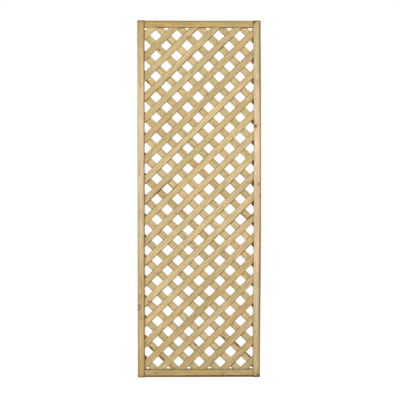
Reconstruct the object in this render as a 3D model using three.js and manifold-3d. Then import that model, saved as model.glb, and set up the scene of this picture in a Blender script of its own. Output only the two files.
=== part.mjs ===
// A framed lattice trellis panel for a garden wall or fence.
//
// Two layers of thin slats cross on the slant and leave diamond gaps. Their ends sit in a groove
// that runs round the inside of a softwood frame: two stiles at full height, and two rails between
// them on stub tongues, each held by one long screw through the stile.
//
// Millimetres, +Z up. X runs across the panel, the front faces -Y, and the origin is under the
// middle of the bottom rail.

import * as THREE from "three";
import { mergeVertices } from "three/addons/utils/BufferGeometryUtils.js";
import Module from "manifold-3d";

const wasm = await Module();
wasm.setup();

// The whole panel
const panelHeight = 1800;
const panelWidth = 620;

// The frame batten, the same stock on all four sides
const battenFace = 35;
const battenDepth = 35;
const outerRound = 10;
const innerRound = 4;
const endChamfer = 1.5;

// The slats, and the spacing meant for the diamond gaps across and up the panel. The lattice is
// spread evenly from corner to corner, as near to this spacing as a whole number of slats comes.
const slatWidth = 34;
const slatThickness = 7;
const slatRound = 1.2;
const gapsAcross = 105.5;
const gapsUp = 103.1;

// Where the middle gap lies, from the middle of the panel
const latticeShiftX = -1.7;
const latticeShiftZ = 2;

// The groove that holds the lattice, and the play that its pieces have
const grooveDepth = 10;
const layerGap = 0.3;
const grooveSidePlay = 0.4;
const slatEndPlay = 1.5;

// The joint between rail and stile
const shoulderGap = 0.3;
const tonguePlay = 0.3;

// The corner screw, a countersunk wood screw
const screwLength = 70;
const shankRadius = 2.25;
const headRadius = 4.4;
const headDepth = 3.6;
const headSunk = 0.6;
const tipLength = 7;
const socketRadius = 1.6;
const socketDepth = 2;
const screwPlay = 0.3;

// How finely round edges are cut, as steps to each quarter turn
const edgeSteps = 6;
const slatEdgeSteps = 2;
const screwSides = 16;

// Corners closer than this are one corner, and tools run this far past the work
const weldDistance = 0.001;
const overrun = 1;

// Sizes that follow from the ones above
const latticeThickness = 2 * slatThickness + layerGap;
const grooveWidth = latticeThickness + 2 * grooveSidePlay;
const openingWidth = panelWidth - 2 * battenFace;
const openingHeight = panelHeight - 2 * battenFace;
const pocketWidth = openingWidth + 2 * (grooveDepth - slatEndPlay);
const pocketHeight = openingHeight + 2 * (grooveDepth - slatEndPlay);
const coreHeight = battenFace - grooveDepth;
const screwHeight = coreHeight / 2;
const holeRadius = shankRadius + screwPlay;
const slatAngle = Math.atan2(gapsUp, gapsAcross);
const meantPitch = (gapsAcross * gapsUp) / Math.hypot(gapsAcross, gapsUp);
const meantSlats = openingWidth / gapsAcross + openingHeight / gapsUp;
const slatsPerLayer = Math.round(meantSlats);
const slatPitch = (meantPitch * meantSlats) / slatsPerLayer;

const quarterTurn = Math.PI / 2;

const colours = {
  frame: 0xd0b78b,
  frontSlat: 0xcdb080,
  backSlat: 0xc4a673,
  screw: 0x9b9a92,
};

function woodMaterial(colour) {
  return new THREE.MeshStandardMaterial({ color: colour, roughness: 0.75, metalness: 0 });
}

function steelMaterial() {
  return new THREE.MeshStandardMaterial({ color: colours.screw, roughness: 0.4, metalness: 0.9 });
}

// Solids that can be joined and cut, and back again

function solidFrom(geometry) {
  const bare = geometry.clone();
  bare.deleteAttribute("normal");
  bare.deleteAttribute("uv");
  const welded = mergeVertices(bare, weldDistance);
  return new wasm.Manifold(
    new wasm.Mesh({
      numProp: 3,
      vertProperties: welded.attributes.position.array,
      triVerts: new Uint32Array(welded.index.array),
    }),
  );
}

function geometryFrom(solid) {
  const cut = solid.getMesh();
  const indexed = new THREE.BufferGeometry();
  indexed.setAttribute("position", new THREE.BufferAttribute(cut.vertProperties, 3));
  indexed.setIndex(new THREE.BufferAttribute(cut.triVerts, 1));
  const geometry = indexed.toNonIndexed();
  geometry.computeVertexNormals();
  return geometry;
}

function namedMesh(name, geometry, material) {
  const mesh = new THREE.Mesh(geometry, material);
  mesh.name = name;
  return mesh;
}

// Adds one rounded corner to an outline that goes round anticlockwise
function roundCorner(outline, centreX, centreY, radius, fromTurn) {
  outline.absarc(centreX, centreY, radius, fromTurn, fromTurn + quarterTurn, false);
}

// The batten's section: X runs from the lattice side out to the panel's edge, Y from front to back
function battenSection() {
  const halfDepth = battenDepth / 2;
  const halfGroove = grooveWidth / 2;
  const outline = new THREE.Shape();
  outline.moveTo(grooveDepth, halfGroove);
  outline.lineTo(grooveDepth, -halfGroove);
  outline.lineTo(0, -halfGroove);
  outline.lineTo(0, innerRound - halfDepth);
  roundCorner(outline, innerRound, innerRound - halfDepth, innerRound, -2 * quarterTurn);
  roundCorner(outline, battenFace - outerRound, outerRound - halfDepth, outerRound, -quarterTurn);
  roundCorner(outline, battenFace - outerRound, halfDepth - outerRound, outerRound, 0);
  roundCorner(outline, innerRound, halfDepth - innerRound, innerRound, quarterTurn);
  outline.lineTo(0, halfGroove);
  outline.closePath();
  return outline;
}

// A rectangle with four like round corners, about the origin
function roundedRectangle(width, height, radius) {
  const x = width / 2 - radius;
  const y = height / 2 - radius;
  const outline = new THREE.Shape();
  outline.moveTo(width / 2, -y);
  roundCorner(outline, x, y, radius, 0);
  roundCorner(outline, -x, y, radius, quarterTurn);
  roundCorner(outline, -x, -y, radius, 2 * quarterTurn);
  roundCorner(outline, x, -y, radius, -quarterTurn);
  return outline;
}

// A straight bar along +Z from 0 to its length, with chamfered or plain ends
function barAlongZ(outline, length, steps, chamfer) {
  const geometry = new THREE.ExtrudeGeometry(outline, {
    depth: length - 2 * chamfer,
    curveSegments: steps / 2,
    bevelEnabled: chamfer > 0,
    bevelThickness: chamfer,
    bevelSize: chamfer,
    bevelOffset: -chamfer,
    bevelSegments: 1,
  });
  return geometry.translate(0, 0, chamfer);
}

// A round peg or hole along X, from one place to another
function pegAlongX(startRadius, endRadius, fromX, toX, z) {
  const length = toX - fromX;
  const peg = new THREE.CylinderGeometry(endRadius, startRadius, length, screwSides);
  peg.rotateZ(-quarterTurn);
  peg.translate(fromX + length / 2, 0, z);
  return solidFrom(peg);
}

// The stile: a batten at full height, with a countersunk hole through it behind each rail

function screwHole(z) {
  const mouthX = battenFace + overrun;
  const seatX = battenFace - headSunk - headDepth;
  const sinkSlope = (headRadius - shankRadius) / headDepth;
  const mouthRadius = holeRadius + sinkSlope * (mouthX - seatX);
  const shank = pegAlongX(holeRadius, holeRadius, -overrun, mouthX, z);
  return shank.add(pegAlongX(holeRadius, mouthRadius, seatX, mouthX, z));
}

function stileGeometry() {
  const batten = solidFrom(barAlongZ(battenSection(), panelHeight, edgeSteps, endChamfer));
  const lower = screwHole(screwHeight);
  const upper = screwHole(panelHeight - screwHeight);
  return geometryFrom(batten.subtract(lower).subtract(upper));
}

function makeStile(side, name) {
  const stile = namedMesh(name, stileGeometry(), woodMaterial(colours.frame));
  stile.position.x = side * (openingWidth / 2);
  stile.rotation.z = side < 0 ? Math.PI : 0;
  return stile;
}

// The rail: a batten between the stiles. Its core runs on into their grooves as a stub tongue.
// It is made along X with its lattice side at Z = 0 and its outer edge below.

const railLength = openingWidth - 2 * shoulderGap;
const tongueReach = openingWidth + 2 * (grooveDepth - tonguePlay);
const tongueThickness = grooveWidth - 2 * tonguePlay;
const tongueHeight = coreHeight - endChamfer;

function railGeometry() {
  const bar = barAlongZ(battenSection(), railLength, edgeSteps, 0);
  bar.translate(0, 0, -railLength / 2);
  bar.rotateY(quarterTurn);
  const tongue = new THREE.BoxGeometry(tongueReach, tongueThickness, tongueHeight);
  tongue.translate(0, 0, -grooveDepth - tongueHeight / 2);
  const rail = solidFrom(bar).add(solidFrom(tongue));
  return geometryFrom(rail.subtract(pilotHole(-1)).subtract(pilotHole(1)));
}

function pilotHole(side) {
  const bottomX = panelWidth / 2 - headSunk - screwLength - screwPlay;
  const mouthX = tongueReach / 2 + overrun;
  const z = screwHeight - battenFace;
  return side > 0
    ? pegAlongX(holeRadius, holeRadius, bottomX, mouthX, z)
    : pegAlongX(holeRadius, holeRadius, -mouthX, -bottomX, z);
}

function makeRail(end, name) {
  const rail = namedMesh(name, railGeometry(), woodMaterial(colours.frame));
  rail.position.z = end > 0 ? panelHeight - battenFace : battenFace;
  rail.rotation.y = end > 0 ? Math.PI : 0;
  return rail;
}

// The screw: turned about its own axis, head up, with a plain round socket in the head

function screwGeometry() {
  const half = [
    [0, -screwLength],
    [shankRadius, tipLength - screwLength],
    [shankRadius, -headDepth],
    [headRadius, 0],
    [socketRadius, 0],
    [socketRadius, -socketDepth],
    [0, -socketDepth],
  ];
  const profile = half.map(([radius, height]) => new THREE.Vector2(radius, height));
  return new THREE.LatheGeometry(profile, screwSides);
}

function makeScrew(side, end, name) {
  const screw = namedMesh(name, screwGeometry(), steelMaterial());
  screw.rotation.z = -side * quarterTurn;
  screw.position.x = side * (panelWidth / 2 - headSunk);
  screw.position.z = end > 0 ? panelHeight - screwHeight : screwHeight;
  return screw;
}

// The lattice: each slat is a long bar on the slant, cut off where it ends in the groove

const slatStockLength = Math.hypot(pocketWidth, pocketHeight) + slatWidth;
const layerOffset = (slatThickness + layerGap) / 2;

function pocketGeometry() {
  const pocket = new THREE.BoxGeometry(pocketWidth, grooveWidth + overrun, pocketHeight);
  return pocket.translate(0, 0, panelHeight / 2);
}

function slatStock() {
  const outline = roundedRectangle(slatWidth, slatThickness, slatRound);
  const bar = barAlongZ(outline, slatStockLength, slatEdgeSteps, 0);
  bar.translate(0, 0, -slatStockLength / 2);
  return bar.rotateY(quarterTurn);
}

// lean is 1 for slats that rise to the right, -1 for slats that fall to the right. height is how
// far the slat lies above the middle of the lattice, measured square to its length.
function makeSlat(name, lean, height, layerY, colour) {
  const slat = namedMesh(name, slatStock(), woodMaterial(colour));
  slat.rotation.y = -lean * slatAngle;
  slat.position.set(
    latticeShiftX - lean * height * Math.sin(slatAngle),
    layerY,
    panelHeight / 2 + latticeShiftZ + height * Math.cos(slatAngle),
  );
  slat.updateMatrix();
  const pocket = pocketGeometry().applyMatrix4(slat.matrix.clone().invert());
  slat.geometry = geometryFrom(solidFrom(slat.geometry).intersect(solidFrom(pocket)));
  return slat;
}

// A layer's slats are counted from its top corner down to the middle, and from its bottom corner up
// to the middle, so that an upper and a lower slat of one number are cut to one length.
function makeLayer(layerName, lean, layerY, colour) {
  const layer = new THREE.Group();
  for (let i = 0; i < slatsPerLayer; i += 1) {
    const side = i % 2 === 0 ? 1 : -1;
    const half = side > 0 ? "upper" : "lower";
    const number = Math.floor(i / 2) + 1;
    const name = `${layerName}_${half}_${String(number).padStart(2, "0")}`;
    const height = side * ((slatsPerLayer + 1) / 2 - number) * slatPitch;
    layer.add(makeSlat(name, lean, height, layerY, colour));
  }
  return layer;
}

// The finished panel

function makeFrame() {
  const frame = new THREE.Group();
  frame.add(makeStile(-1, "stile_left"));
  frame.add(makeStile(1, "stile_right"));
  frame.add(makeRail(1, "rail_top"));
  frame.add(makeRail(-1, "rail_bottom"));
  frame.add(makeScrew(-1, 1, "screw_top_left"));
  frame.add(makeScrew(1, 1, "screw_top_right"));
  frame.add(makeScrew(-1, -1, "screw_bottom_left"));
  frame.add(makeScrew(1, -1, "screw_bottom_right"));
  return frame;
}

function makeTrellis() {
  const trellis = new THREE.Group();
  trellis.add(makeFrame());
  trellis.add(makeLayer("front_slat", 1, -layerOffset, colours.frontSlat));
  trellis.add(makeLayer("back_slat", -1, layerOffset, colours.backSlat));
  return trellis;
}

export default makeTrellis();
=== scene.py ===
# %% [markdown]
# # A framed lattice trellis panel
#
# This lesson dresses a garden trellis, which comes in as plain solids at their real size: two stiles,
# two rails, two layers of slats and four screws. Blender adds worn edges, a slight wander, the look of
# treated softwood, staples and a studio. Everything is in metres, with X across the panel, Y from its
# front to its back and Z up.

# %% Load the panel
import random
from itertools import product
from math import copysign, cos, pi, radians, sin

import bmesh
import bpy
from mathutils import Matrix, Vector, noise as noises


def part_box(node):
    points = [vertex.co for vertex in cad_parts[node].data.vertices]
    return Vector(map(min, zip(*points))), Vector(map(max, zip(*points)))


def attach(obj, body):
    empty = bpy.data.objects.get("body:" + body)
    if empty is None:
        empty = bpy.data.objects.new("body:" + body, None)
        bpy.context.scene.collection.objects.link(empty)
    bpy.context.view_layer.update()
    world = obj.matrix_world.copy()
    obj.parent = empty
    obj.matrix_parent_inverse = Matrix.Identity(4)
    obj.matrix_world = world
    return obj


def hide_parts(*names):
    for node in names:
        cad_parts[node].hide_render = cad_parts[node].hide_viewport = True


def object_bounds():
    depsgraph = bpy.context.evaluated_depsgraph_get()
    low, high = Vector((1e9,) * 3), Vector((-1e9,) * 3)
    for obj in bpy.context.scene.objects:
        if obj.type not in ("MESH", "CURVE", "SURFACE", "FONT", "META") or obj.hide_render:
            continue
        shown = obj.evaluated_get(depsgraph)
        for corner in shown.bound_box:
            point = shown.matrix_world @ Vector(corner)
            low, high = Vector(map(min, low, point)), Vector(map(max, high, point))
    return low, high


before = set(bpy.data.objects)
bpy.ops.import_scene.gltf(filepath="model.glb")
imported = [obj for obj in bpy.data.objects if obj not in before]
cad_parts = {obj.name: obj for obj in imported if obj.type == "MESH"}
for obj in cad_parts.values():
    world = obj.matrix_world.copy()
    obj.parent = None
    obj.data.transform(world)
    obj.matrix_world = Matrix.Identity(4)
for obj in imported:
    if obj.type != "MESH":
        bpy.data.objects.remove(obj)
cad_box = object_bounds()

mm = 0.001
print("solids:", len(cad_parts), "box:", [round(x, 4) for corner in cad_box for x in corner])

# %% [markdown]
# ## The camera
#
# The panel was photographed from the front, at waist height, with the camera turned a degree or so down
# and to the right. It is set back along its line of sight from the middle of the picture.

# %% Camera
front = cad_box[0].y
lens_distance = 5000 * mm
picture_width = 2016 * mm
picture_middle = Vector((5.2 * mm, front, 898.8 * mm))
downward_tilt = radians(1.61)
rightward_turn = radians(0.86)
quarter_turn = pi / 2


def add_object(name, data):
    made = bpy.data.objects.new(name, data)
    bpy.context.scene.collection.objects.link(made)
    return made


camera_data = bpy.data.cameras.new("camera")
camera_data.lens = camera_data.sensor_width * lens_distance / picture_width
camera = add_object("camera", camera_data)
camera.rotation_euler = (quarter_turn - downward_tilt, 0, -rightward_turn)
line_of_sight = camera.rotation_euler.to_matrix() @ Vector((0, 0, -1))
camera.location = picture_middle - line_of_sight * lens_distance
bpy.context.scene.camera = camera
print("lens", round(camera_data.lens, 1), "mm, camera at", [round(x / mm) for x in camera.location])

# %% [markdown]
# ## Short ways to write a node tree
#
# Every finish here is made of shader nodes, and each would take several lines to add, set and link. The
# functions below do that in one call and hand back the output socket, so that a tree reads like a
# formula. They work on the tree that was made last.


# %% Node tree functions
def colour(code):
    """A linear RGBA colour from a code such as c8a878, as colour pickers show it."""
    shares = [part / 255 for part in bytes.fromhex(code)]
    return (*[((s + 0.055) / 1.055) ** 2.4 if s > 0.04045 else s / 12.92 for s in shares], 1)


trees = []


def add(kind, **settings):
    """Adds a node. Its kind is Blender's without the word ShaderNode."""
    nodes = trees[-1].nodes
    made = nodes.new("ShaderNode" + kind)
    made.location = (180 * len(nodes), 0)
    for setting, value in settings.items():
        setattr(made, setting, value)
    return made


def feed(made, inputs):
    """Sets or links a node's inputs, given by name or by number. Returns its outputs."""
    for key, value in inputs.items():
        if isinstance(value, bpy.types.NodeSocket):
            trees[-1].links.new(value, made.inputs[key])
        elif value is not None:
            made.inputs[key].default_value = value
    return made.outputs


def new(kind, *inputs, out=0, **settings):
    """Adds a node with its inputs in order. Returns one of its outputs."""
    outputs = feed(add(kind, **settings), dict(enumerate(inputs)))
    return outputs[out] if outputs else None


def use_group(tree, inputs):
    """Places a shader group. Returns its output sockets by name."""
    outputs = feed(add("Group", node_tree=tree), inputs)
    return {socket.name: socket for socket in outputs}


def math(operation, *inputs):
    return new("Math", *inputs, operation=operation)


def times(value, *factors):
    for factor in factors:
        value = math("MULTIPLY", value, factor)
    return value


def add_up(total, *parts):
    """A value plus some parts, each of them a mask and its weight."""
    for mask, weight in parts:
        total = math("MULTIPLY_ADD", mask, weight, total)
    return total


def vector(operation, *inputs, out=0):
    return new("VectorMath", *inputs, operation=operation, out=out)


def length(arrow, stretch=(1, 1, 1)):
    return vector("LENGTH", vector("MULTIPLY", arrow, stretch), out="Value")


def split(arrow):
    """The three numbers of a vector."""
    return new("SeparateXYZ", arrow).node.outputs


def attribute(name, output="Fac"):
    return new("Attribute", attribute_name=name, out=output)


def noise(place, across, along, detail=2.0, roughness=0.5):
    """Noise with so many lumps to the metre across the grain and along it."""
    scaled = vector("MULTIPLY", place, (across, across, along))
    inputs = {"Vector": scaled, "Scale": 1, "Detail": detail, "Roughness": roughness}
    return feed(add("TexNoise"), inputs)[0]


def fade(value, low, high, start=0.0, end=1.0):
    """Goes smoothly from start to end as the value goes from low to high."""
    return new("MapRange", value, low, high, start, end, interpolation_type="SMOOTHSTEP")


def mix(factor, a, b, blend="MIX"):
    made = add("Mix", data_type="RGBA", blend_type=blend)
    return feed(made, {0: factor, 6: a, 7: b})[2]


def bump(height, distance):
    return feed(add("Bump"), {"Height": height, "Distance": distance})["Normal"]


def new_material(name):
    material = bpy.data.materials.new(name)
    material.use_nodes = True
    trees.append(material.node_tree)
    return material


print("pale wood c8a878 is", [round(c, 3) for c in colour("c8a878")])

# %% [markdown]
# ## The studio
#
# A ground that is lit until it is white would bleach the wood. So the floor and the world glow white
# only towards the camera and in reflections. Near the panel's foot the floor glows less, so that the
# shadow is seen.

# %% Floor and white ground
floor_half = 14.0
floor_drop = 0.2 * mm
room_strength = 0.20
near_glow = 0.75
glow_near_reach = 0.15
glow_far_reach = 1.2
white = colour("ffffff")
pale = colour("dcdbd8")
black = colour("000000")


def seen_directly():
    """1 for rays from the camera and for reflections of the ground, 0 for light on the wood."""
    path = add("LightPath").outputs
    direct = math("MAXIMUM", path["Is Camera Ray"], path["Is Glossy Ray"])
    return math("MAXIMUM", direct, path["Is Transmission Ray"])


square = [(-1, -1), (1, -1), (1, 1), (-1, 1)]
floor_mesh = bpy.data.meshes.new("floor")
points = [(x * floor_half, y * floor_half, -floor_drop) for x, y in square]
floor_mesh.from_pydata(points, [], [(0, 1, 2, 3)])
material = new_material("pale_floor")
trees[-1].nodes.clear()
direct = seen_directly()
far = fade(length(new("NewGeometry")), glow_near_reach, glow_far_reach)
glow = new("Emission", white, times(direct, fade(far, 0.0, 1.0, near_glow)))
lit = new("BsdfDiffuse", mix(times(direct, far), pale, black))
new("OutputMaterial", new("AddShader", lit, glow))
floor_mesh.materials.append(material)
floor = add_object("floor", floor_mesh)

world = bpy.data.worlds.new("room")
world.use_nodes = True
trees.append(world.node_tree)
trees[-1].nodes.clear()
strength = fade(seen_directly(), 0.0, 1.0, room_strength)
new("OutputWorld", new("Background", white, strength))
bpy.context.scene.world = world
print("floor", 2 * floor_half, "m a side")

# %% [markdown]
# ## The lamps
#
# A large lamp behind the camera lights both layers of slats. A smaller one on the left lays narrow
# shadows, a weak one on the right keeps these from going black, and one behind shows the back. The
# strengths are set so that a colour renders about as it is written.

# %% Lamps
aim_height = 1150 * mm
# place, width and height in metres, and watts
lamps = {
    "key_lamp": ((-1.9, -3.9, 1.5), 0.6, 0.8, 76),
    "front_lamp": ((0.4, -5.6, 2.2), 2.4, 1.6, 108),
    "fill_lamp": ((2.4, -3.8, 1.3), 1.6, 2.0, 22),
    "back_lamp": ((0.5, 5.2, 1.6), 2.4, 2.0, 140),
}
for name, (place, width, height, watts) in lamps.items():
    light = bpy.data.lights.new(name, "AREA")
    light.shape = "RECTANGLE"
    light.size = width
    light.size_y = height
    light.energy = watts
    lamp = add_object(name, light)
    lamp.location = place
    aim = Vector((0, 0, aim_height)) - lamp.location
    lamp.rotation_euler = aim.to_track_quat("-Z", "Y").to_euler()
bpy.context.scene.view_settings.view_transform = "Standard"
print("lamps:", list(lamps))

# %% [markdown]
# ## Boards with a grain
#
# The solid of a stile, rail or slat has only a few long faces. So it is copied and cut finely along and
# across, which gives enough points to soften the edges and to tell where in the log each part lay.

# %% Boards from the solids
weld_distance = 0.01 * mm
flat_angle = radians(1)
# how finely a board is cut: the length of a part, and the parts across its width and through it
part_length = {"frame": 18 * mm, "slat": 14 * mm}
parts_across = 4
parts_deep = {"frame": 3, "slat": 1}
seed = 41
chance = random.Random(seed)


class Board:
    """A finely cut copy of a wooden solid, with the directions of its grain."""

    def __init__(self, node):
        self.node = node
        self.kind = "slat" if "_slat_" in node else "frame"
        self.shape = bmesh.new()
        self.shape.from_mesh(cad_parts[node].data)
        points, edges = self.shape.verts, self.shape.edges
        bmesh.ops.remove_doubles(self.shape, verts=points, dist=weld_distance)
        bmesh.ops.dissolve_limit(self.shape, angle_limit=flat_angle, edges=edges, verts=points)
        longest = max(edges, key=lambda e: e.calc_length())
        self.along = (longest.verts[0].co - longest.verts[1].co).normalized()
        # along the board is to the right, or upwards on a stile
        if self.along.x + self.along.z * 0.01 < 0:
            self.along.negate()
        self.deep = Vector((0, 1, 0))
        self.across = self.deep.cross(self.along)
        self.directions = (self.along, self.across, self.deep)
        places = [[v.co.dot(direction) for v in points] for direction in self.directions]
        self.spans = [(min(p), max(p)) for p in places]
        self.length, self.width, self.depth = [high - low for low, high in self.spans]
        parts = (round(self.length / part_length[self.kind]), parts_across, parts_deep[self.kind])
        for direction, (low, high), count in zip(self.directions, self.spans, parts):
            for i in range(1, count):
                self.cut(direction, direction * (low + (high - low) * i / count))

    def cut(self, direction, point):
        everything = self.shape.verts[:] + self.shape.edges[:] + self.shape.faces[:]
        bmesh.ops.bisect_plane(self.shape, geom=everything, plane_co=point, plane_no=direction)

    def local(self, point):
        """A point's place along, across and deep in the board, from the board's middle."""
        places = zip(self.directions, self.spans)
        return Vector([point.dot(d) - (low + high) / 2 for d, (low, high) in places])


frame_nodes = ["stile_left", "stile_right", "rail_top", "rail_bottom"]


def by_board(*facts):
    """One fact for each board of the frame."""
    return dict(zip(frame_nodes, facts))


slat_nodes = sorted(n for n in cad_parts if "_slat_" in n)
boards = {n: Board(n) for n in frame_nodes + slat_nodes}
print("boards:", len(boards), "points:", sum(len(b.shape.verts) for b in boards.values()))

# %% [markdown]
# ## Where each board lay in its log
#
# Sawn near the heart of the tree, a board shows many straight lines, and farther out a few broad flames.
# So each board gets its own heart line, at a distance and an angle drawn by chance, and its own place
# along the trunk.

# %% Place in the log
nearest_heart = 22 * mm
farthest_heart = 85 * mm
trunk_length = 40.0

for board in boards.values():
    distance = chance.uniform(nearest_heart, farthest_heart)
    angle = chance.uniform(0, 2 * pi)
    height = chance.uniform(0, trunk_length)
    board.log = Vector((distance * cos(angle), distance * sin(angle), height))
print("heart of the left stile:", [round(x / mm) for x in boards["stile_left"].log[:2]], "mm off")

# %% [markdown]
# ## Tone of each board
#
# Some boards are pale, some greenish from the treatment and some pink from the heartwood. Each has three
# numbers for that, by chance for most slats and listed for the rest. The stiles hold a painted pool of
# light, so they are palest at chest height, and they grow darker and greener towards their ends.

# %% Tone of each board
tone_spread = 0.27
# lightness, green and pink, each from about -1 to 1
chosen_tones = {
    "stile_left": (-1.0, 0.6, 0.05),
    "stile_right": (-0.40, 0.5, 0.3),
    "rail_top": (-1.8, 1.0, 0.0),
    "rail_bottom": (-1.0, 1.1, 0.0),
    "back_slat_upper_10": (-0.7, -0.1, 0.5),
    "back_slat_lower_10": (-0.6, 0.0, 0.5),
    "back_slat_lower_02": (-0.5, 0.0, 0.4),
    "front_slat_upper_09": (-0.4, 0.6, -0.2),
}
back_slat_lightness = -0.05
# height of the brightest place of the painted pool of light, its reach upwards and its strength
painted_light_pool = {"stile_left": (1200 * mm, 700 * mm, 1.35), "stile_right": (1150 * mm, 900 * mm, 1.75)}
# the painted light fades more slowly towards the floor
downward_fading = 0.74
painted_light_gain = Vector((1.0, -0.7, 0.0))
dull_reach = {"stile_left": 150 * mm, "stile_right": 70 * mm}
dull_gain = Vector((-1.0, 0.4, 0.0))


def ramp(value, low, high):
    """0 up to low, 1 from high on and evenly in between."""
    return max(0.0, min(1.0, (value - low) / (high - low)))


def tone_and_painted_light_at(board, height):
    """The tone of a board at a height above the floor. Stiles change with it: painted light, darker
    ends.
    """
    if not board.node.startswith("stile"):
        return board.tone
    # a painted pool of light on the stiles, brightest at chest height
    brightest_height, reach, strength = painted_light_pool[board.node]
    away = (height - brightest_height) / reach
    share = max(0.0, 1 - away if away > 0 else 1 + away * downward_fading)
    painted_light = strength * share * share * (3 - 2 * share)
    dull = 1 - ramp(min(height, board.length - height), 0, dull_reach[board.node])
    return board.tone + painted_light_gain * painted_light + dull_gain * dull


for board in boards.values():
    drawn = [max(-1.0, min(1.0, chance.gauss(0, tone_spread))) for _ in range(3)]
    board.tone = Vector(chosen_tones.get(board.node, drawn))
    if board.node.startswith("back_slat") and board.node not in chosen_tones:
        board.tone.x += back_slat_lightness
print("tone of the left stile at 1.2 m:", [round(x, 2) for x in tone_and_painted_light_at(boards["stile_left"], 1.2)])

# %% [markdown]
# ## Knots
#
# A knot is the foot of a branch. It goes through the wood, with the grain flowing round it, so it is a
# place inside the board and a size. The knots that stand out are listed with their places on the front
# faces, and a few small ones fall by chance.

# %% Knots of each board
knots_per_board = 8
# by board or layer: across the panel, up the panel, and radius, in millimetres
chosen_knots = {
    "stile_right": [
        (282, 1271, 6.0), (280, 1793, 5.5), (300, 8, 5.0), (296, 979, 3.4),
        (309, 1556, 2.2), (309, 1278, 3.2), (306, 919, 3.6), (309, 692, 3.0),
    ],
    "stile_left": [(-307, 356, 11.0), (-288, 1480, 1.6), (-299, 842, 1.6)],
    "rail_top": [(-130, 1779, 2.0)],
    "rail_bottom": [(-215, 22, 2.5), (120, 14, 3.0)],
    "front_slat": [(43, 1431, 2.6), (-257, 386, 3.4), (-157, 1258, 2.2)],
    "back_slat": [(268, 1290, 6.5), (-195, 1654, 4.0)],
}
chance_of_knot = 0.14
far_away = Vector((0, 0, -1000))


def board_at(family, across, up):
    """The board of a family that passes nearest to a place in millimetres, and that place in it."""
    point = Vector((across * mm, 0, up * mm))
    members = [b for b in boards.values() if b.node.startswith(family)]
    found = min(members, key=lambda b: abs(b.local(point).y))
    return found, found.local(point)


def drawn_knots(board):
    for _ in range(3):
        along = chance.uniform(-0.5, 0.5) * board.length
        across = chance.uniform(-0.45, 0.45) * board.width
        radius = chance.uniform(1.2, 3.2) * mm
        if chance.random() < chance_of_knot:
            yield Vector((across, 0, along)), radius


for board in boards.values():
    board.knots = list(drawn_knots(board)) if board.kind == "slat" else []
for family, knots in chosen_knots.items():
    for across, up, radius in knots:
        board, place = board_at(family, across, up)
        board.knots.insert(0, (Vector((place.y, -board.depth / 2, place.x)), radius * mm))
print("knots:", sum(len(b.knots) for b in boards.values()))

# %% [markdown]
# ## Softened edges and a slight wander
#
# The slats lie a millimetre or two off their line and bow a little, their edges are rubbed, and the
# whole lattice leans in its groove. The frame is straighter, but its right stile bows outward, and no
# two of its boards are equally wide. The faces keep their place, so the layers never touch.

# %% Wear and wander
edge_reach = {"slat": 1.8 * mm, "frame": 10.5 * mm}
edge_wear = {"slat": 0.55 * mm, "frame": 0.35 * mm}
usual_wear = 0.55
lump_length = 45 * mm
# sets the noises of the four edges of a board apart
edge_spacing = 7.3
# how much wider a frame board is on the side that faces the slats, or narrower where below 0
inner_swell = by_board(1.0 * mm, 1.5 * mm, -0.4 * mm, 5.1 * mm)
swell_reach = 6 * mm
# how far a slat lies off its line, how far it turns off it over half its length, and its bow
slat_spreads = (1.0 * mm, 0.8 * mm, 0.7 * mm)
farthest_spreads = 1.8
usual_slat_length = 800 * mm
right_stile_bow = 4.3 * mm
panel_middle = (cad_box[0] + cad_box[1]) / 2
# the corners of the opening in the frame
opening_low = Vector((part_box("stile_left")[1].x, 0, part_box("rail_bottom")[1].z))
opening_high = Vector((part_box("stile_right")[0].x, 0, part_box("rail_top")[0].z))
# how far the lattice leans to the left for each metre up, and how deep its ends sit in the groove
lattice_lean = 4.4 * mm
seated_depth = 8.5 * mm


def edge_share(board, place, reach):
    """1 on the very corner of the section, falling to 0 within the reach."""
    from_side = board.width / 2 - abs(place.y)
    from_face = board.depth / 2 - abs(place.z)
    return max(0.0, 1 - (from_side + from_face) / reach)


def from_inner_side(board, place):
    """The distance from the long side of a frame board that faces the middle of the panel."""
    return board.width / 2 - place.y * copysign(1, board.local(panel_middle).y)


def swell_at(board, place):
    """How far a point of a frame board moves towards the middle of the panel."""
    if board.kind == "slat" or from_inner_side(board, place) > swell_reach:
        return 0.0
    return inner_swell[board.node] * copysign(1, place.y)


def from_stile(point):
    """How far inside the opening a point lies, from the nearer stile."""
    return min(point.x - opening_low.x, opening_high.x - point.x)


def from_rail(point):
    return min(point.z - opening_low.z, opening_high.z - point.z)


def lean_at(point):
    """How far the lattice leans to the right at a point. The ends in the groove stay in place."""
    return lattice_lean * (panel_middle.z - point.z) * ramp(from_stile(point), -seated_depth, 0)


def wander_of(board):
    """A board's shift, its skew and its bow."""
    if board.kind == "frame":
        return 0.0, 0.0, right_stile_bow if board.node == "stile_right" else 0.0
    farthest = [farthest_spreads * s for s in slat_spreads]
    drawn = [max(-f, min(f, chance.gauss(0, s))) for f, s in zip(farthest, slat_spreads)]
    share = board.length / usual_slat_length
    return drawn[0], drawn[1] * share, drawn[2] * share


def wear_at(board, place):
    edge = (place.y > 0) + 2 * (place.z > 0)
    at = Vector(((place.x + board.log.z) / lump_length, edge * edge_spacing, board.log.x / mm))
    return max(0.0, usual_wear + noises.noise(at)) * edge_wear[board.kind]


def shape_board(board):
    """Moves the points of a board. Returns each point's place in the board before it moved."""
    shift, skew, bow = wander_of(board)
    places = []
    for point in board.shape.verts:
        place = board.local(point.co)
        places.append(place)
        share = place.x / (board.length / 2)
        inward = edge_share(board, place, edge_reach[board.kind]) * wear_at(board, place)
        curve = 1 - share * share
        if board.node == "stile_right" and share < 0:
            # this stile bows most of all above its middle
            curve *= curve
        sideways = shift + skew * share + bow * curve + swell_at(board, place)
        if board.kind == "slat":
            point.co.x += lean_at(point.co)
        point.co += board.across * (sideways - copysign(inward, place.y))
        point.co -= board.deep * copysign(inward, place.z)
    return places


for board in boards.values():
    board.places = shape_board(board)
print("shaped", sum(len(b.places) for b in boards.values()), "points")
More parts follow.
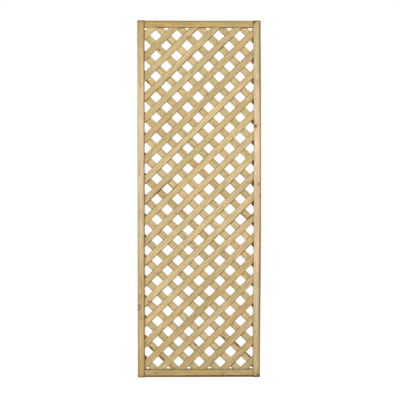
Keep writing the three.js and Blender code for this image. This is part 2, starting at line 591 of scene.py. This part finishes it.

# %% [markdown]
# ## Darkened sides
#
# Some colour belongs to a place on a board. Painted shade lies on the frame's rounded edges that turn
# away from the light: orange-brown on the right stile's outer side, dark brown along the foot, and
# darker along the top and the left stile's inner side. Many slats have a dark lower edge, partly bark
# and stain and partly painted shade. So each point gets its distance from the darkened side, divided by
# the reach of the darkening, and the strength of the darkening there.

# %% Darkened sides
# which way the darkened side of a frame board faces
# on the frame the darkened side is painted shade, on the rounded edge that turns from the light
darkened_side = {"stile_left": (1, 0), "stile_right": (1, 0), "rail_top": (0, 1)}
side_reaches = by_board(7.5 * mm, 11 * mm, 11 * mm, 12.5 * mm)
slat_side_reach = 3.4 * mm
dark_side_reach = {"front_slat": 6.5 * mm, "back_slat": 12 * mm}
side_strengths = {"stile_left": 0.72, "rail_top": 0.75, "rail_bottom": 1.0}
# the right stile's painted shade is weak at the foot: weakest, strongest, and where it grows, as shares
right_side_darkening = (0.45, 0.88)
right_side_darkening_growth = (-0.42, -0.22)
# colours of the darkened side, from a board's foot or left end to its top or right end
# the frame's side colours are the colours of this painted shade
side_colours = {
    "stile_left": ("a8803f", "ac8848", "b08d55", "b5945f", "a88448"),
    "stile_right": ("8c7444", "7e5a2c", "9c6430", "cc8c46", "d4964c", "a8783a", "8a7644"),
    "rail_top": ("ae843e", "a3843c", "9c843a", "a58c48", "b59c5a"),
    "rail_bottom": ("8f6614", "8a5f0c", "80500a", "784a06", "7a5008"),
}
slat_side_colour = ("6e480e",)
# a dark lower edge on some slats: partly bark and stain, partly painted shade
edge_stain_chance = 0.55
# dark lengths of the slats' edges, by layer and edge: across and up the panel and half length, in
# millimetres, and then strength
dark_edges = {
    ("back_slat", "lower"): [
        (-238, 149, 32, 1.0), (-180, 104, 34, 0.9), (138, 209, 26, 0.8), (-150, 1690, 50, 0.6),
        (60, 900, 60, 0.4), (225, 838, 24, 0.6), (-261, 1487, 22, 0.9),
    ],
    ("back_slat", "upper"): [(187, 158, 28, 1.0), (244, 109, 30, 1.0), (-26, 158, 22, 0.8)],
    ("front_slat", "lower"): [
        (-212, 957, 115, 1.0), (217, 668, 45, 0.8), (-35, 1765, 30, 0.9), (95, 1667, 45, 0.8),
    ],
    ("front_slat", "upper"): [(-112, 939, 70, 0.8), (250, 825, 35, 0.9)],
}
# the share of half its length over which a dark length has its full strength
dark_core = 0.375


def side_colour_at(board, place):
    """The colour of the darkened side at a place, between two of the board's side colours."""
    codes = side_colours.get(board.node, slat_side_colour)
    at = max(0.0, min(0.999, place.x / board.length + 0.5)) * (len(codes) - 1)
    pair = [colour(codes[i]) for i in (int(at), min(int(at) + 1, len(codes) - 1))]
    return [low + (high - low) * (at % 1) for low, high in zip(pair[0][:3], pair[1][:3])]


def dark_edge_at(board, place):
    """How dark an edge of a slat is at a place, from 0 to 1, and whether it is the upper edge."""
    found = [(0.0, False)]
    for at, half, strength, is_upper in board.dark:
        share = 1 - ramp(abs(place.x - at) / half, dark_core, 1)
        found.append((strength * share, is_upper))
    return max(found)


def side_distance(board, place):
    """The distance from a board's darkened long side, which is a slat's lower one."""
    x, z = darkened_side.get(board.node, (0, -1))
    facing = board.across.x * x + board.across.z * z
    distance = board.width / 2 - place.y * (1 if facing > 0 else -1)
    darkened, is_upper = dark_edge_at(board, place)
    if is_upper:
        distance = board.width - distance
    return distance / (board.side_reach * (1 - darkened) + board.dark_reach * darkened)


def side_darkening(board, place):
    """The distance from the darkened side in reaches, and the strength of the darkening."""
    distance = side_distance(board, place)
    if board.node == "stile_right":
        weakest, strongest = right_side_darkening
        share = ramp(place.x / board.length, *right_side_darkening_growth)
        return distance, weakest + (strongest - weakest) * share
    slat_darkening = max(board.edge_stain, dark_edge_at(board, place)[0])
    return distance, side_strengths.get(board.node, slat_darkening)


for board in boards.values():
    board.side_reach = side_reaches.get(board.node, slat_side_reach)
    dark_edged = chance.random() < edge_stain_chance and board.kind == "slat"
    board.edge_stain = chance.uniform(0.3, 0.9) if dark_edged else 0.0
    board.dark = []
    board.dark_reach = 0.0
for (layer, edge), lengths in dark_edges.items():
    for across, up, half, strength in lengths:
        board, place = board_at(layer, across, up)
        board.dark.append((place.x, half * mm, strength, edge == "upper"))
        board.dark_reach = dark_side_reach[layer]
print("slats with a dark edge:", sum(b.edge_stain > 0 or b.dark != [] for b in boards.values()))

# %% [markdown]
# ## Darkened joints and groove
#
# The ends of the frame's boards are darker, with dirt and with painted shade where they butt. Painted
# shade also lies along the groove, where the slats run in, and on the stiles where the rails meet them.
# It is written down like the darkened sides, as a distance in reaches and a strength.

# %% Darkened joints and groove
end_reach = 6 * mm
foot_reach = 9.5 * mm
joint_line_reach = 4.5 * mm
groove_reach = {"slat": 7 * mm, "frame": 2 * mm}
rail_groove_share = 0.3
# painted shade by the groove, on the slats where they run in and on the frame's inner edges
groove_shade_strengths = {"front_slat": 0.2, "back_slat": 0.95, **by_board(0.35, 0.0, 0.1, 0.5)}
# strengths at a board's foot or left end, and at its top or right end
# painted shadow lines on the stiles, where the rails butt against them
joint_lines = {"stile_left": (0.75, 0.5), "stile_right": (0.35, 0.3)}
# the ends of the boards: dirt, and painted shade in the butt joints
joint_darkening = by_board((0.65, 0.8), (0.85, 0.65), (0.45, 0.6), (0.3, 0.2))


def end_darkening(board, place, point):
    """The distance from a board's end in reaches, and how dark it is, with dirt and painted shade."""
    from_end = board.length / 2 - abs(place.x)
    if board.node.startswith("rail"):
        from_end = from_stile(point)
    at_foot = board.node in joint_lines and place.x < 0
    strength = joint_darkening.get(board.node, (0.0, 0.0))[place.x > 0]
    return from_end / (foot_reach if at_foot else end_reach), strength


def groove_shade(board, place, point):
    """The same for the painted shade by the groove, or on a stile for the line where it meets a rail."""
    if board.node in joint_lines and from_rail(point) <= 0:
        strength = joint_lines[board.node][place.x > 0]
        return from_inner_side(board, place) / joint_line_reach, strength
    strength = next(s for name, s in groove_shade_strengths.items() if board.node.startswith(name))
    if board.kind == "frame":
        return from_inner_side(board, place) / groove_reach["frame"], strength
    distance = min(from_stile(point), from_rail(point) / rail_groove_share)
    return distance / groove_reach["slat"], strength


def darkenings_at(board, place, point):
    """The distances and the strengths of the darkened side, the darkened end and the groove shade."""
    end_and_groove = end_darkening(board, place, point), groove_shade(board, place, point)
    return list(zip(side_darkening(board, place), *end_and_groove))


stile = boards["stile_left"]
foot = Vector((opening_low.x, front, 0))
found = darkenings_at(stile, stile.local(foot), foot)
print("stains at the left stile's foot:", [[round(x, 2) for x in row] for row in found])

# %% [markdown]
# ## From points to pieces
#
# The finish reads what is written on the points: the place in the log, the tone with the stiles' painted
# light, the knots, the edges, the sawn ends, and the stains, dirt and painted shade. These are mesh
# attributes, which travel with the mesh wherever it goes.

# %% Write the attributes and make the pieces
smooth_angle = radians(32)
seen_edge_reach = {"slat": 5 * mm, "frame": 10.5 * mm}
# how each attribute follows from a board, a point's place in it and the point itself
attributes = {
    "log_place": lambda b, p, v: (p.y + b.log.x, p.z + b.log.y, p.x + b.log.z),
    "tone": lambda b, p, v: tone_and_painted_light_at(b, v.z),
    "edge": lambda b, p, v: edge_share(b, p, seen_edge_reach[b.kind]),
    "sawn_end": lambda b, p, v: float(b.length / 2 - abs(p.x) < weld_distance),
    # darkened sides, ends and groove: stains, dirt and painted shade
    "darkening_distance": lambda b, p, v: darkenings_at(b, p, v)[0],
    "darkening_strength": lambda b, p, v: darkenings_at(b, p, v)[1],
    "side_colour": lambda b, p, v: side_colour_at(b, p),
}


def write_attribute(mesh, name, values):
    single = isinstance(values[0], float)
    kind, field = ("FLOAT", "value") if single else ("FLOAT_VECTOR", "vector")
    flat = values if single else [x for value in values for x in value]
    mesh.attributes.new(name, kind, "POINT").data.foreach_set(field, flat)


def smooth(mesh):
    mesh.shade_smooth()
    mesh.set_sharp_from_angle(angle=smooth_angle)


def board_piece(board):
    mesh = bpy.data.meshes.new(board.node + "_board")
    board.shape.to_mesh(mesh)
    board.shape.free()
    for name, rule in attributes.items():
        values = [rule(board, place, v.co) for place, v in zip(board.places, mesh.vertices)]
        write_attribute(mesh, name, values)
    for i in range(knots_per_board):
        place, radius = board.knots[i] if i < len(board.knots) else (far_away, mm)
        write_attribute(mesh, f"knot_{i}", [place + board.log] * len(values))
        write_attribute(mesh, f"knot_{i}_radius", [radius] * len(values))
    smooth(mesh)
    return add_object(board.node + "_board", mesh)


pieces = {node: board_piece(board) for node, board in boards.items()}
print("pieces:", len(pieces), "faces:", sum(len(p.data.polygons) for p in pieces.values()))

# %% [markdown]
# ## Growth rings
#
# A softwood grows a pale, broad band each spring and a dark, narrow one each summer, in circles round
# its heart. So the distance from the heart, divided by the ring's width, gives the place within a ring.
# A slow noise bends the rings, which makes flames on a flat-sawn face, and a knot pushes them outwards.
# Like every mask here, they are a group with named sockets.

# %% Growth ring group
palette_names = ("Pale", "Dark", "Green", "Orange", "Brown", "Grey", "Grime And Shade")
# the kinds of the sockets that aren't plain numbers
socket_kinds = {"Log Place": "Vector", "Centre": "Vector", "Tone": "Vector"}
socket_kinds.update({name: "Color" for name in (*palette_names, "Side", "Color")})


def make_group(formula, inputs, outputs):
    """A shader group with the name of a formula, whose outputs follow from its inputs by it."""
    tree = bpy.data.node_groups.new(formula.__name__, "ShaderNodeTree")
    for in_out, labels in (("INPUT", inputs), ("OUTPUT", outputs)):
        for label in labels:
            kind = "NodeSocket" + socket_kinds.get(label, "Float")
            tree.interface.new_socket(label, in_out=in_out, socket_type=kind)
    trees.append(tree)
    start = tree.nodes.new("NodeGroupInput").outputs[: len(inputs)]
    feed(tree.nodes.new("NodeGroupOutput"), dict(enumerate(formula(*start))))
    print(formula.__name__, "has", len(tree.nodes), "nodes")
    return tree


def growth_rings(place, width, push):
    bent = add_up(push, (noise(place, 9, 1.3), 0.020), (noise(place, 70, 9), 0.0022))
    turns = math("DIVIDE", math("ADD", length(place, (1, 1, 0)), bent), width)
    drawn = new("TexWhiteNoise", None, math("FLOOR", turns), noise_dimensions="1D")
    within = math("FRACT", turns)
    darkness = times(fade(within, 0.2, 0.9), fade(within, 0.93, 1.0, 1.0, 0.0))
    return times(darkness, fade(drawn, 0.0, 1.0, 0.45, 1.0)), drawn


ring_group = make_group(growth_rings, ("Log Place", "Ring Width", "Push"), ("Summer", "Ring"))

# %% [markdown]
# ## Fibres and drift
#
# Between the rings, wood is made of long fibres: very fine streaks along the grain. The board also
# drifts slowly between lighter and darker, damp mottles it, and here and there runs a pink streak. All
# of these are noises stretched along the log.


# %% Fibre group
def fibres(place):
    fine = noise(place, 1500, 32, 3.0, 0.6)
    streak = noise(place, 340, 6.5, 2.0, 0.6)
    drift = noise(place, 16, 3.6)
    mottle = noise(place, 80, 30, 2.0, 0.6)
    pink = fade(noise(place, 75, 2.1, 1.0), 0.54, 0.74)
    return fine, streak, drift, mottle, pink


fibre_group = make_group(fibres, ("Log Place",), ("Fine", "Streak", "Drift", "Mottle", "Pink"))

# %% [markdown]
# ## A knot in the wood
#
# On the face a knot is a dark round or oval with a darker rim of bark, and a large one is paler inside.
# The group measures how far a point is from the knot and puts out four masks: the knot itself, its rim,
# the bent grain about it and the pale heart of a large one.

# %% Knot group
knot_shape = (1.0, 0.3, 0.8)
bend_shape = (0.9, 0.3, 0.34)


def knot(place, centre, radius, rough):
    away = vector("SUBTRACT", place, centre)
    share = math("DIVIDE", length(away, knot_shape), radius)
    rugged = add_up(share, (math("SUBTRACT", rough, 0.5), 0.7))
    mask = fade(rugged, 0.8, 1.05, 1.0, 0.0)
    rim = times(fade(rugged, 0.7, 0.95), fade(rugged, 1.0, 1.25, 1.0, 0.0))
    bend = fade(math("DIVIDE", length(away, bend_shape), radius), 0.4, 2.6, 1.0, 0.0)
    large = fade(radius, 8 * mm, 10 * mm)
    heart = times(fade(rugged, 0.55, 0.8, 1.0, 0.0), large)
    return mask, rim, bend, heart


knot_inputs = ("Log Place", "Centre", "Radius", "Rough")
knot_group = make_group(knot, knot_inputs, ("Knot", "Rim", "Bend", "Heart"))


def add_knots(place):
    """The masks of all of a board's knots together."""
    masks = {}
    rough = noise(place, 180, 90)
    for i in range(knots_per_board):
        given = (place, attribute(f"knot_{i}", "Vector"), attribute(f"knot_{i}_radius"), rough)
        for name, mask in use_group(knot_group, dict(zip(knot_inputs, given))).items():
            masks[name] = math("MAXIMUM", masks[name], mask) if name in masks else mask
    return masks


# %% [markdown]
# ## Marks of the saw and of the treatment
#
# A saw leaves fine uneven lines square to the grain, and a planer faint waves. Both are a wave along the
# board, faded in and out over patches, which only tilts the surface. Pressure treatment leaves copper
# salts, which turn the wood greenish in patches and bloom grey-green in a few places.


# %% Tool mark and treatment groups
def tool_marks(place, spacing, unevenness):
    lump = times(noise(place, 40, 60), unevenness)
    turns = math("ADD", math("DIVIDE", split(place)[2], spacing), lump)
    wave = math("SINE", times(turns, 2 * pi))
    patch = fade(noise(place, 20, 9, 1.0), 0.35, 0.65)
    return (times(wave, patch),)


def treatment(place):
    tint = fade(noise(place, 24, 4.2, 3.0, 0.6), 0.36, 0.68)
    bloom = fade(noise(place, 34, 9.0), 0.60, 0.74)
    return tint, bloom


mark_group = make_group(tool_marks, ("Log Place", "Spacing", "Unevenness"), ("Height",))
treatment_group = make_group(treatment, ("Log Place",), ("Tint", "Bloom"))

# %% [markdown]
# ## Rubbed and darkened edges, and cracks
#
# Rubbed edges take in dirt and dry darker, and that darkening also serves as painted shade on the
# edges, while the places that were rubbed last are pale. The edge share on the points says where an edge
# is, and noise breaks it up. Hairline cracks open along the grain. They are the thin lines along which a
# noise, drawn out along the grain, crosses its middle.

# %% Rubbed and darkened edge and crack groups
crack_width = 0.006


def rubbed_and_darkened_edges(place, edge, low, high):
    share = fade(edge, low, high)
    broken = fade(noise(place, 120, 26, 3.0), 0.46, 0.70)
    # the edges darken with dirt and with painted shade
    dirt_and_shade = fade(noise(place, 50, 21, 3.0), 0.30, 0.62, 0.35, 1.0)
    return times(share, broken), times(share, dirt_and_shade)


def cracks(place):
    level = math("SUBTRACT", noise(place, 130, 2.6, 1.0), 0.5)
    line = fade(math("ABSOLUTE", level), 0.0, crack_width, 1.0, 0.0)
    patch = fade(noise(place, 14, 5.0, 1.0), 0.58, 0.68)
    return (times(line, patch),)


rub_and_shade_group = make_group(rubbed_and_darkened_edges, ("Log Place", "Edge", "Low", "High"), ("Rubbed", "Dirt And Shade"))
crack_group = make_group(cracks, ("Log Place",), ("Crack",))

# %% [markdown]
# ## Painted shade, stains and dirt
#
# The darkened sides, ends and groove are read from the points as distances, where 1 is the reach of one.
# They are partly painted shade and partly stains and dirt. A noise breaks their border, so that a
# darkened side ends in a ragged line and the darkening comes and goes along an edge.

# %% Darkening group
end_raggedness = 0.6
groove_raggedness = 0.9


# a darkening mask, for painted shade and for stains and dirt alike
def stain(place, distance, strength, raggedness):
    ragged = math("SUBTRACT", noise(place, 90, 14, 3.0), 0.5)
    share = add_up(distance, (ragged, raggedness))
    return (times(fade(share, 0.75, 1.15, 1.0, 0.0), strength),)


darkening_inputs = ("Log Place", "Distance", "Strength", "Raggedness")
darkening_group = make_group(stain, darkening_inputs, ("Darkening",))


def add_darkenings(place, side_raggedness):
    """The masks of the darkened side, the darkened ends and the painted shade by the groove."""
    distances = split(attribute("darkening_distance", "Vector"))
    strengths = split(attribute("darkening_strength", "Vector"))
    raggedness = (side_raggedness, end_raggedness, groove_raggedness)
    darkenings = []
    for own in zip(distances, strengths, raggedness):
        darkenings += use_group(darkening_group, dict(zip(darkening_inputs, (place, *own)))).values()
    return dict(zip(("Side Darkening", "Joint Darkening", "Groove Shade"), darkenings))


# %% [markdown]
# ## The colour of the wood
#
# The colour starts from pale spring wood, darkens along the summer rings and streaks, and takes the
# board's own tone, with the stiles' painted pool of light. Darkened sides, knots, rubbed and darkened
# edges, cracks, sawn ends, darkened joints and the groove follow in about the order in which they came
# to the board. The darkened sides, edges and joints are partly painted shade, and the darkening by the
# groove is painted shade. The colours are inputs, so that three woods can share the group.

# %% Wood colour group
ground_masks = ("Summer", "Ring", "Streak", "Drift", "Mottle", "Pink", "Tint", "Bloom")
# what lies on the ground colour, from the first layer to the last: its mask, strength and colour
layers = (
    ("Side Darkening", 1.0, "Side"),
    ("Bend", 0.32, "Dark"),
    ("Dirt And Shade", 0.62, "Grime And Shade"),
    ("Rubbed", 0.22, "Pale"),
    ("Knot", 0.88, "Brown"),
    ("Heart", 0.75, "Grey"),
    ("Rim", 0.75, "Bark And Shade"),
    ("Crack", 0.7, "Brown"),
    ("End", 0.55, "Dark"),
    ("Joint Darkening", 1.0, "Brown"),
    ("Groove Shade", 1.0, "Bark And Shade"),
)
masks_used = (*ground_masks, *[mask for mask, strength, tint in layers])
near_black = (0.01, 0.006, 0.003, 1)


def wood_colour(*sockets):
    given = dict(zip(colour_inputs, sockets))
    lightness, green, pink = split(given["Tone"])
    streak = fade(given["Streak"], 0.3, 0.75, -0.14, 0.34)
    dark = add_up(streak, (given["Ring"], 0.14), (given["Summer"], 0.55), (lightness, -0.34))
    made = mix(dark, given["Pale"], given["Dark"])
    pinkness = add_up(0.0, (given["Pink"], 0.42), (pink, 0.22))
    made = mix(pinkness, made, given["Orange"], "SOFT_LIGHT")
    greenness = add_up(0.0, (given["Tint"], 0.42), (green, 0.24))
    made = mix(greenness, made, given["Green"])
    made = mix(times(given["Bloom"], 0.45), made, given["Grey"])
    mottle = fade(given["Mottle"], 0.25, 0.75, 0.90, 1.10)
    drift = fade(given["Drift"], 0.25, 0.75, 0.92, 1.07)
    made = mix(1.0, made, times(drift, mottle), "MULTIPLY")
    # a near-black brown for the rims of knots and for the painted shade by the groove
    given["Bark And Shade"] = mix(0.45, given["Brown"], near_black)
    for mask, strength, tint in layers:
        made = mix(times(given[mask], strength), made, given[tint])
    return (made,)


colour_inputs = (*masks_used, "Tone", *palette_names, "Side")
colour_group = make_group(wood_colour, colour_inputs, ("Color",))

# %% [markdown]
# ## Three woods
#
# The frame is planed and pale. The slats are finely sawn and a little browner, and the back layer is a
# touch lighter, painted light against the shade that the front layer casts on it. Wood is dull, so its
# gloss is low and uneven: summer rings and knots are smoother than spring wood, and sawn ends are
# rougher.

# %% Wood materials
relief_height = 1 * mm
gloss = 0.32
usual_roughness = 0.64
mark_unevenness = 1.6
# how far the rings give way to a knot, in ring widths
knot_push = 2.2
# how much each mask raises the surface, in millimetres, and how much it adds to the roughness
reliefs = {"Fine": 0.035, "Summer": 0.05, "Rim": -0.10, "Crack": -0.30, "Rubbed": -0.05}
roughening = {"Summer": -0.10, "Fine": 0.16, "Knot": -0.14, "End": 0.14}


def weighted(masks, weights):
    return [(masks[name], weight) for name, weight in weights.items()]


def make_wood(name, palette, ring_width, mark_spacing, mark_depth, raggedness, edge_low, edge_high):
    material = new_material(name)
    place = attribute("log_place", "Vector")
    masks = {"End": attribute("sawn_end")}
    masks.update(add_darkenings(place, raggedness))
    masks.update(add_knots(place))
    push = times(masks["Bend"], knot_push * ring_width)
    edge = attribute("edge")
    for group, own in (
        (ring_group, {"Ring Width": ring_width, "Push": push}),
        (fibre_group, {}),
        (treatment_group, {}),
        (rub_and_shade_group, {"Edge": edge, "Low": edge_low, "High": edge_high}),
        (crack_group, {}),
        (mark_group, {"Spacing": mark_spacing, "Unevenness": mark_unevenness}),
    ):
        masks.update(use_group(group, {"Log Place": place, **own}))
    inputs = {label: masks[label] for label in masks_used}
    inputs.update(zip(palette_names, map(colour, palette)))
    inputs["Tone"] = attribute("tone", "Vector")
    inputs["Side"] = attribute("side_colour", "Vector")
    relief = add_up(0.0, (masks["Height"], mark_depth), *weighted(masks, reliefs))
    shader_inputs = {
        "Base Color": use_group(colour_group, inputs)["Color"],
        "Roughness": add_up(usual_roughness, *weighted(masks, roughening)),
        "Specular IOR Level": gloss,
        "Normal": bump(relief, relief_height),
    }
    feed(trees[-1].nodes["Principled BSDF"], shader_inputs)
    return material


# pale, dark, green, orange, brown, grey, and grime and shade
frame_palette = ("dccaa9", "b58b49", "aa9f62", "b5692a", "6a3d18", "a5a582", "806030")
front_palette = ("d7be8c", "ac854e", "a9a068", "bb7638", "6a3f1c", "9f9f7c", "5f6440")
# the back layer's colours are lighter: painted light against the front layer's shade
back_palette_brightened = ("dac18f", "b28a54", "aca26b", "bb7638", "6a3f1c", "a09e77", "5f6440")
# ring width, spacing and depth of the tool marks, raggedness of the side stain, and the edge
# shares at which the rubbing starts and is full
frame_sizes = (2.0 * mm, 4.5 * mm, 0.012, 0.35, 0.70, 0.97)
slat_sizes = (2.9 * mm, 1.9 * mm, 0.035, 1.7, 0.42, 0.72)
woods = {
    "frame_wood": make_wood("frame_wood", frame_palette, *frame_sizes),
    "front_slat_wood": make_wood("front_slat_wood", front_palette, *slat_sizes),
    "back_slat_wood": make_wood("back_slat_wood", back_palette_brightened, *slat_sizes),
}
print("woods:", list(woods))

# %% [markdown]
# ## Dress the boards
#
# Each board takes the place of its plain solid and moves with the panel. It wears one of three shared
# woods, so that a finish can be changed for the whole panel at once.


# %% Dress the boards
def slot_of(node):
    if node.startswith("front_slat"):
        return "front_slat_wood"
    return "back_slat_wood" if node.startswith("back_slat") else "frame_wood"


for node, piece in pieces.items():
    piece.data.materials.append(woods[slot_of(node)])
    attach(piece, "root")
    slot_of(node)
    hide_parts(node)
print("dressed", len(pieces), "boards")

# %% [markdown]
# ## Zinc-plated steel
#
# Screws and staples are steel with a thin zinc coat: dull, slightly blotched, with traces of rust where
# a tool has broken it. The pattern goes by the place in space.

# %% Steel material
steel_relief = 0.02 * mm

steel = new_material("zinc_plated_steel")
place = new("TexCoord", out="Object")
blotch = noise(place, 300, 300, 3.0)
rust = fade(noise(place, 700, 700, 3.0, 0.6), 0.60, 0.72)
zinc = mix(blotch, colour("8f8e86"), colour("b9b8b0"))
inputs = {
    "Base Color": mix(times(rust, 0.6), zinc, colour("7a4a28")),
    "Metallic": fade(rust, 0.0, 1.0, 1.0, 0.25),
    "Roughness": fade(blotch, 0.3, 0.7, 0.36, 0.55),
    "Normal": bump(noise(place, 2500, 2500), steel_relief),
}
feed(trees[-1].nodes["Principled BSDF"], inputs)
print("steel:", len(steel.node_tree.nodes), "nodes")

# %% [markdown]
# ## Corner screws
#
# A countersunk wood screw holds each corner, with its head in the edge of the stile. The head and shank
# are a profile turned about the axis, and the thread is a thin ridge wound round the shank. Each is made
# of rows of points that are joined into a skin.

# %% Screw shape
turned_sides = 28
head_radius = 4.4 * mm
head_depth = 3.6 * mm
shank_radius = 1.75 * mm
thread_radius = 2.25 * mm
thread_pitch = 2.6 * mm
thread_length = 42 * mm
tip_length = 7 * mm


def join_rows(bm, rows):
    """Joins rows of points into a skin and closes its ends. A row of one point is a tip."""
    sides = max(len(row) for row in rows)
    for low, high in zip(rows, rows[1:]):
        for i in range(sides):
            j = (i + 1) % sides
            around = [low[i % len(low)], low[j % len(low)], high[j % len(high)], high[i % len(high)]]
            bm.faces.new(list(dict.fromkeys(around)))
    for row in (rows[0], rows[-1]):
        if len(row) > 1:
            bm.faces.new(row)


def point_round(bm, radius, turn, height):
    return bm.verts.new((radius * cos(turn), radius * sin(turn), height))


def wind_thread(bm, screw_length):
    """A thin ridge wound round the shank, which fades into it at both ends."""
    steps = round(thread_length / thread_pitch * turned_sides / 2)
    rows = []
    for i in range(steps + 1):
        share = i / steps
        turn = 2 * pi * share * thread_length / thread_pitch
        height = tip_length * 0.6 - screw_length + share * thread_length
        fullness = min(1.0, share * 12, (1 - share) * 8)
        low = shank_radius * (0.9 if share > 0.08 else 0.45)
        high = low + (thread_radius - shank_radius * 0.9) * fullness
        section = ((low, -0.55 * mm), (high, 0.0), (low, 0.35 * mm))
        rows.append([point_round(bm, radius, turn, height + rise) for radius, rise in section])
    join_rows(bm, rows)


def object_from(name, bm):
    """Turns a finished shape into an object with smooth sides."""
    bmesh.ops.recalc_face_normals(bm, faces=bm.faces)
    mesh = bpy.data.meshes.new(name)
    bm.to_mesh(mesh)
    bm.free()
    smooth(mesh)
    return add_object(name, mesh)


print("turns of the thread:", round(thread_length / thread_pitch))

# %% [markdown]
# Two crossed wedges cut the recess out of the head. One screw is made and copied to the four corners.
# The place and length of each come from its plain solid, so the head lies in its countersink.

# %% Make the screws
recess_reach = 2.5 * mm
recess_width = 0.9 * mm
recess_depth = 2.4 * mm


def recess_cutter():
    """Two crossed wedges that stand in the head and narrow towards the shank."""
    bm = bmesh.new()
    for turn in (0, quarter_turn):
        turned = Matrix.Rotation(turn, 4, "Z")
        rows = []
        for height, share in ((0.5 * mm, 1.1), (-recess_depth, 0.35)):
            x, y = recess_reach * share, recess_width / 2 * (0.6 + 0.4 * share)
            rows.append([bm.verts.new(turned @ Vector((a * x, b * y, height))) for a, b in square])
        join_rows(bm, rows)
    return bm


def make_screw(screw_length):
    # radius and height, from the tip to the middle of the head
    profile = [
        (0, -screw_length),
        (shank_radius * 0.5, tip_length * 0.45 - screw_length),
        (shank_radius, tip_length - screw_length),
        (shank_radius, -head_depth * 1.5),
        (shank_radius * 1.15, -head_depth),
        (head_radius * 0.96, -0.35 * mm),
        (head_radius, -0.2 * mm),
        (head_radius * 0.97, 0),
        (0, 0),
    ]
    bm = bmesh.new()
    turns = [2 * pi * i / turned_sides for i in range(turned_sides)]
    rows = [[point_round(bm, r, t, height) for t in (turns if r else [0])] for r, height in profile]
    join_rows(bm, rows)
    screw = object_from("screw", bm)
    tool = screw.modifiers.new("recess", "BOOLEAN")
    tool.operation = "DIFFERENCE"
    tool.solver = "EXACT"
    tool.use_self = True
    tool.object = object_from("recess_cutter", recess_cutter())
    bpy.context.view_layer.update()
    finished = screw.evaluated_get(bpy.context.evaluated_depsgraph_get())
    bm = bmesh.new()
    bm.from_mesh(finished.data)
    wind_thread(bm, screw_length)
    for used in (tool.object, screw):
        bpy.data.objects.remove(used)
    return object_from("screw", bm)


screw_nodes = sorted(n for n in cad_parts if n.startswith("screw"))
low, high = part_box(screw_nodes[0])
pattern = make_screw(high.x - low.x)
for node in screw_nodes:
    low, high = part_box(node)
    outward = 1 if low.x > 0 else -1
    head = Vector((high.x if outward > 0 else low.x, (low.y + high.y) / 2, (low.z + high.z) / 2))
    piece = add_object(node + "_turned", pattern.data.copy())
    turn = Matrix.Rotation(chance.uniform(0, quarter_turn), 4, "Z")
    laid = Matrix.Rotation(outward * quarter_turn, 4, "Y") @ turn
    piece.data.transform(Matrix.Translation(head) @ laid)
    piece.data.materials.append(steel)
    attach(piece, "root")
    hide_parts(node)
bpy.data.objects.remove(pattern)
print("screws:", screw_nodes)

# %% [markdown]
# ## Staples at the crossings
#
# The slats are stapled where they cross, from the back, so the front shows nothing. A staple is a flat
# wire bent twice, with two legs in the wood and a crown on its face. Each is a path of points with a
# small section swept along it, and all of them make one piece.

# %% Staples
wire_width = 1.25 * mm
wire_depth = 0.6 * mm
crown_length = 9.5 * mm
leg_length = 12 * mm
bend_radius = 0.9 * mm
bend_steps = 4
proud = 0.25 * mm
frame_clearance = 14 * mm
staple_stray = 3.5 * mm
staple_turn = radians(16)
missing_share = 0.04
# the middle line of the wire: along the crown, and into the wood
staple_path = [(-crown_length / 2, leg_length)]
for i in range(bend_steps + 1):
    turn = quarter_turn * i / bend_steps
    along, into = 1 - cos(turn), 1 - sin(turn)
    staple_path.append((bend_radius * along - crown_length / 2, bend_radius * into))
staple_path += [(-x, y) for x, y in reversed(staple_path)]


def sweep_wire(bm, centre, crown, into):
    side = crown.cross(into)
    path = [centre + crown * x + into * y for x, y in staple_path]
    rows = []
    for i, point in enumerate(path):
        ahead = (path[min(i + 1, len(path) - 1)] - path[max(i - 1, 0)]).normalized()
        half_width, half_depth = side * wire_width / 2, ahead.cross(side) * wire_depth / 2
        rows.append([bm.verts.new(point + half_width * a + half_depth * b) for a, b in square])
    join_rows(bm, rows)


def crossings():
    """Where the middle lines of the two layers cross, inside the frame."""
    lines = {"front": [], "back": []}
    for board in [boards[n] for n in slat_nodes]:
        along, across = [sum(span) / 2 for span in board.spans[:2]]
        middle = board.along * along + board.across * across
        lines[board.node.split("_")[0]].append((middle, board.along))
    for (point, ahead), (other, other_ahead) in product(lines["front"], lines["back"]):
        turn = ahead.cross(other_ahead).y
        found = point + ahead * ((other - point).cross(other_ahead).y / turn)
        if min(from_stile(found), from_rail(found)) > frame_clearance:
            yield found + Vector((lean_at(found), 0, 0))


bm = bmesh.new()
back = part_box("back_slat_upper_11")[1].y
count = 0
for place in crossings():
    drawn = [chance.uniform(-1, 1) for _ in range(3)]
    if chance.random() < missing_share:
        continue
    stray = Vector((drawn[0], 0, drawn[1])) * staple_stray
    centre = Vector((place.x, back + proud, place.z)) + stray
    crown = Matrix.Rotation(drawn[2] * staple_turn, 3, "Y") @ Vector((1, 0, 0))
    sweep_wire(bm, centre, crown, Vector((0, -1, 0)))
    count += 1
staples = object_from("staples", bm)
staples.data.materials.append(steel)
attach(staples, "root")
print("staples:", count)
